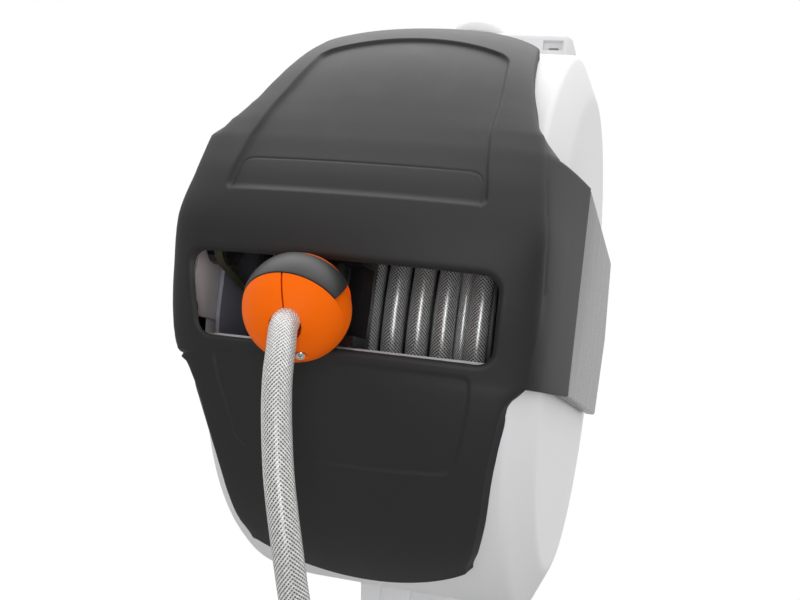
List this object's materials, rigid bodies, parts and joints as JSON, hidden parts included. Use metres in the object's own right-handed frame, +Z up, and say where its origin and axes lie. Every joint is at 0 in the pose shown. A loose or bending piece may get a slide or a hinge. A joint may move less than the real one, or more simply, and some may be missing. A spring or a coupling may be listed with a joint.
{
  "type": "retractable hose reel",
  "caption": "Wall-mounted retractable garden hose reel: swivelling drum case with a moulded front cover, hose guide window, ball stop and hanging braided hose.",
  "frame": {"origin": "middle of the wall plate's flat back face", "axes": "+Z up, +Y into the wall, so the reel's front faces -Y and the drum's axle runs along X"},
  "size_m": [0.246, 0.5723, 0.8682],
  "materials": {
    "white_plastic": "satin",
    "steel": "satin",
    "black_plastic": "gloss",
    "satin_black": "satin",
    "charcoal_plastic": "satin",
    "grey_plastic": "satin",
    "orange_plastic": "satin",
    "braided_hose": "gloss",
    "feed_rubber": "matt",
    "belt_rubber": "matt",
    "brass": "satin"
  },
  "bodies": {
    "bracket": {"wall_plate": "white_plastic", "upper_arm": "white_plastic", "upper_swivel_pin": "steel", "lower_arm": "white_plastic", "lower_swivel_pin": "steel"},
    "housing": {"left_shell": "white_plastic", "right_shell": "white_plastic", "top_bridge": "white_plastic", "upper_bush": "black_plastic", "bottom_foot": "white_plastic", "lower_bush": "black_plastic", "front_cover": "charcoal_plastic", "left_wing": "grey_plastic", "right_wing": "grey_plastic", "main_axle": "steel", "left_axle_socket": "white_plastic", "left_side_frame": "grey_plastic", "right_side_frame": "grey_plastic", "guide_rod": "steel", "guide_belt": "belt_rubber", "inlet_nipple": "brass", "feed_tube": "feed_rubber", "water_joint": "brass", "pawl_pin": "steel"},
    "drum": {"drum_barrel": "black_plastic", "left_flange": "satin_black", "right_flange": "satin_black", "drum_hub": "white_plastic", "drum_pulley": "white_plastic", "ratchet_wheel": "white_plastic", "hose_winding": "braided_hose", "spring_case": "grey_plastic", "spring_lid": "grey_plastic", "power_spring": "steel"},
    "screw": {"guide_screw": "black_plastic"},
    "carriage": {"hose_guide": "black_plastic", "hose_lead": "braided_hose", "left_guide_roller_pin": "steel", "right_guide_roller_pin": "steel"},
    "left_roller": {"left_guide_roller": "black_plastic"},
    "right_roller": {"right_guide_roller": "black_plastic"},
    "hose_end": {"ball_left_half": "orange_plastic", "ball_right_half": "orange_plastic", "ball_band": "satin_black", "ball_screw": "steel", "hose_stub": "braided_hose", "free_hose": "braided_hose", "connector_nut": "orange_plastic", "connector_body": "grey_plastic"},
    "pawl": {"pawl": "steel"}
  },
  "joints": [
    {"name": "case_swivel", "type": "hinge", "parent": "bracket", "child": "housing", "pos_m": [0, -0.195, 0], "axis": [0, 0, 1], "range_deg": [-90, 90]},
    {"name": "drum_turn", "type": "hinge", "parent": "housing", "child": "drum", "pos_m": [0, -0.255, 0], "axis": [1, 0, 0], "continuous": true},
    {"name": "screw_turn", "type": "hinge", "parent": "housing", "child": "screw", "pos_m": [0, -0.441, 0.022], "axis": [1, 0, 0], "continuous": true},
    {"name": "guide_travel", "type": "slide", "parent": "housing", "child": "carriage", "axis": [1, 0, 0], "range_m": [-0.03, 0.081]},
    {"name": "left_roller_turn", "type": "hinge", "parent": "carriage", "child": "left_roller", "pos_m": [-0.039, -0.448, 0], "axis": [0, 0, 1], "continuous": true},
    {"name": "right_roller_turn", "type": "hinge", "parent": "carriage", "child": "right_roller", "pos_m": [-0.009, -0.448, 0], "axis": [0, 0, 1], "continuous": true},
    {"name": "hose_pull", "type": "slide", "parent": "carriage", "child": "hose_end", "axis": [0.1762, -0.9168, -0.3583], "range_m": [0, 0.02]},
    {"name": "pawl_tilt", "type": "hinge", "parent": "housing", "child": "pawl", "pos_m": [0.082, -0.191, 0.056], "axis": [1, 0, 0], "range_deg": [-10, 14]}
  ],
  "couplings": [
    {"joint": "screw_turn", "follows": "drum_turn", "ratio": 3.0769}
  ]
}
